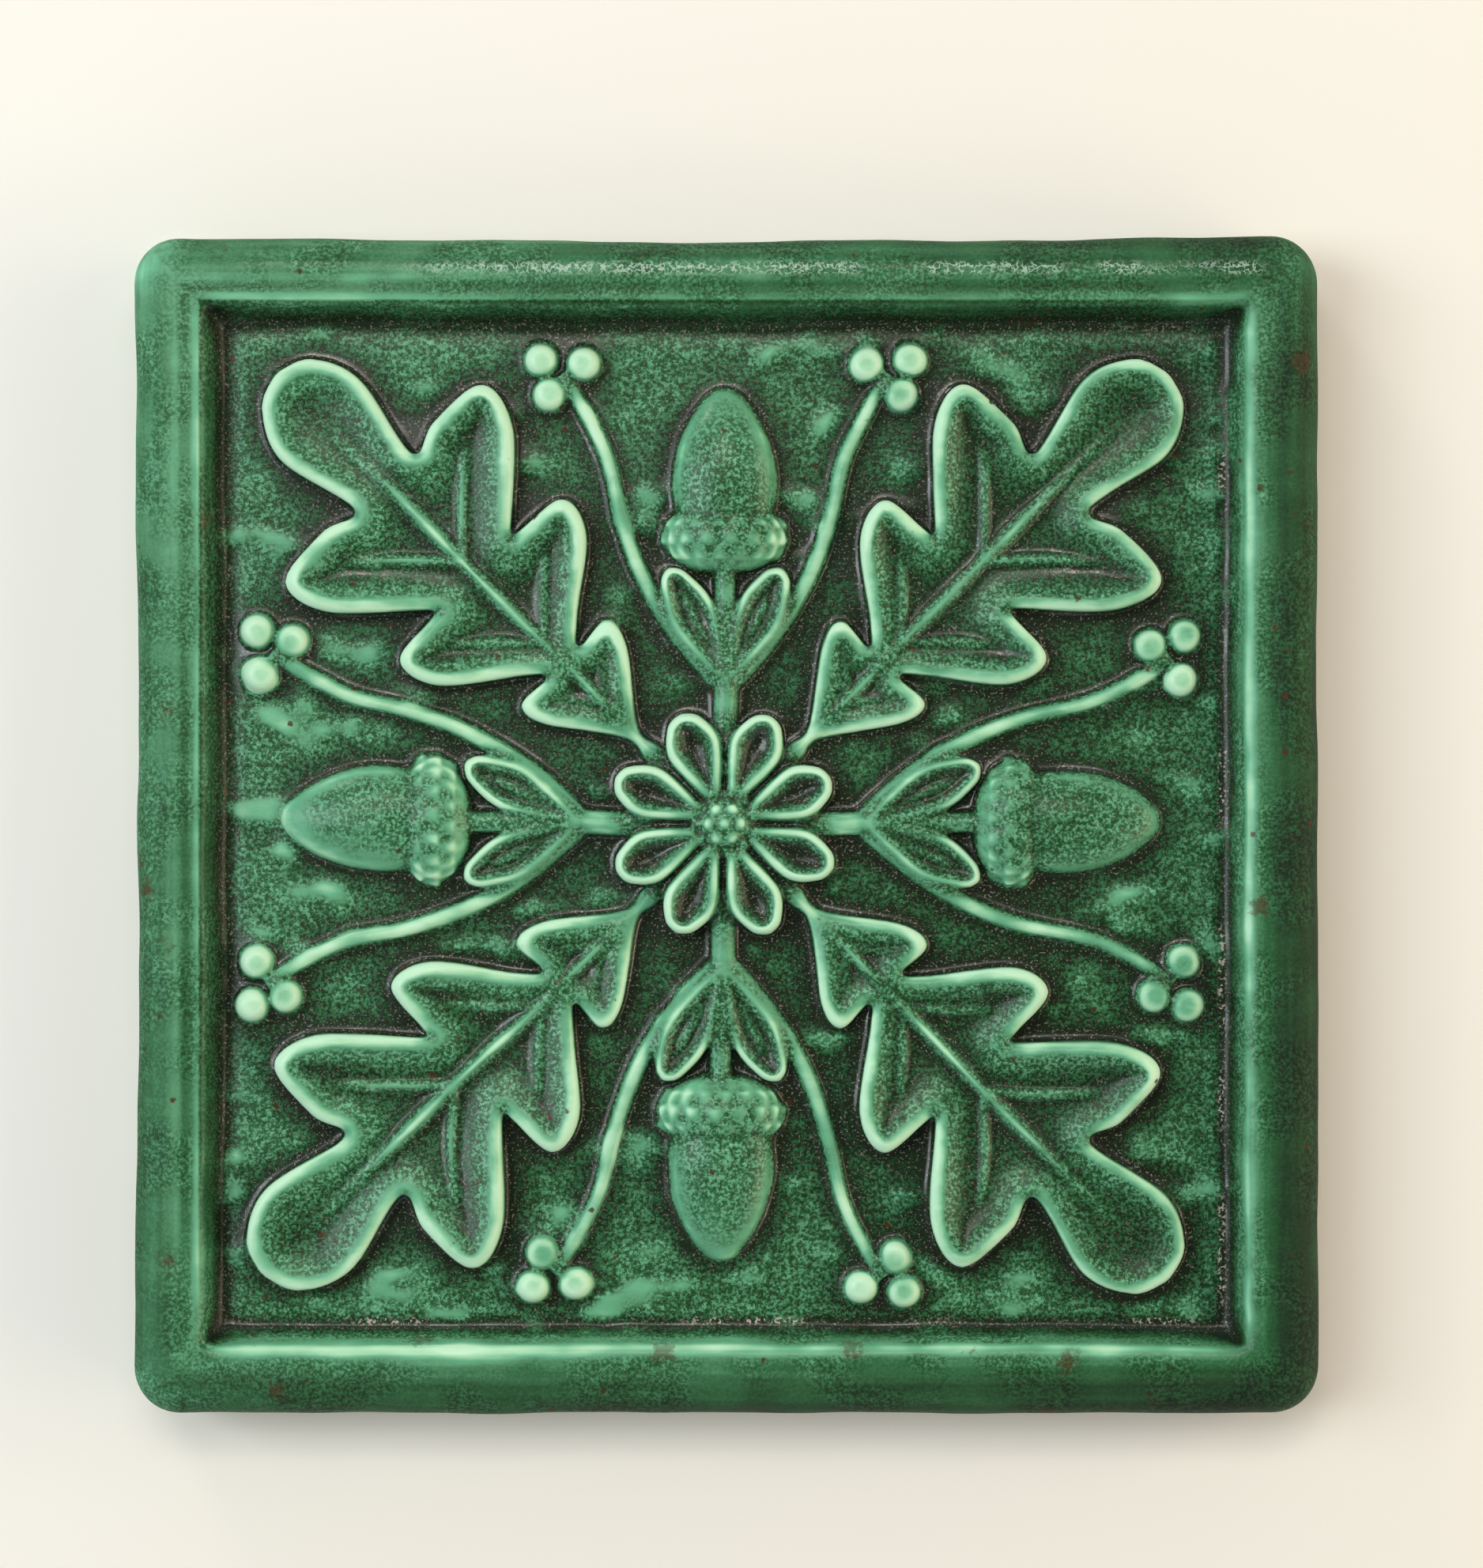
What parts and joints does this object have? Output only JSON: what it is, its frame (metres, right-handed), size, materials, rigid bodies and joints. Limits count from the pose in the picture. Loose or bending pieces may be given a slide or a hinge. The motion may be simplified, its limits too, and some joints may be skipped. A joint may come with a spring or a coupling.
{
  "type": "art tile",
  "caption": "Square hand-pressed stoneware tile: a raised rounded border around a sunk field with a fourfold oak-leaf, acorn and rosette relief under a mottled green glaze.",
  "frame": {"origin": "middle of the flat back", "axes": "+Z out of the glazed face, +Y towards the tile's top edge as it hangs on a wall, +X to its right"},
  "size_m": [0.1519, 0.1509, 0.015],
  "materials": {
    "glaze": "satin mottled green glaze that breaks pale mint on the ridges and pools dark in the hollows"
  },
  "bodies": {
    "root": {"relief_tile": "glaze"}
  },
  "joints": []
}
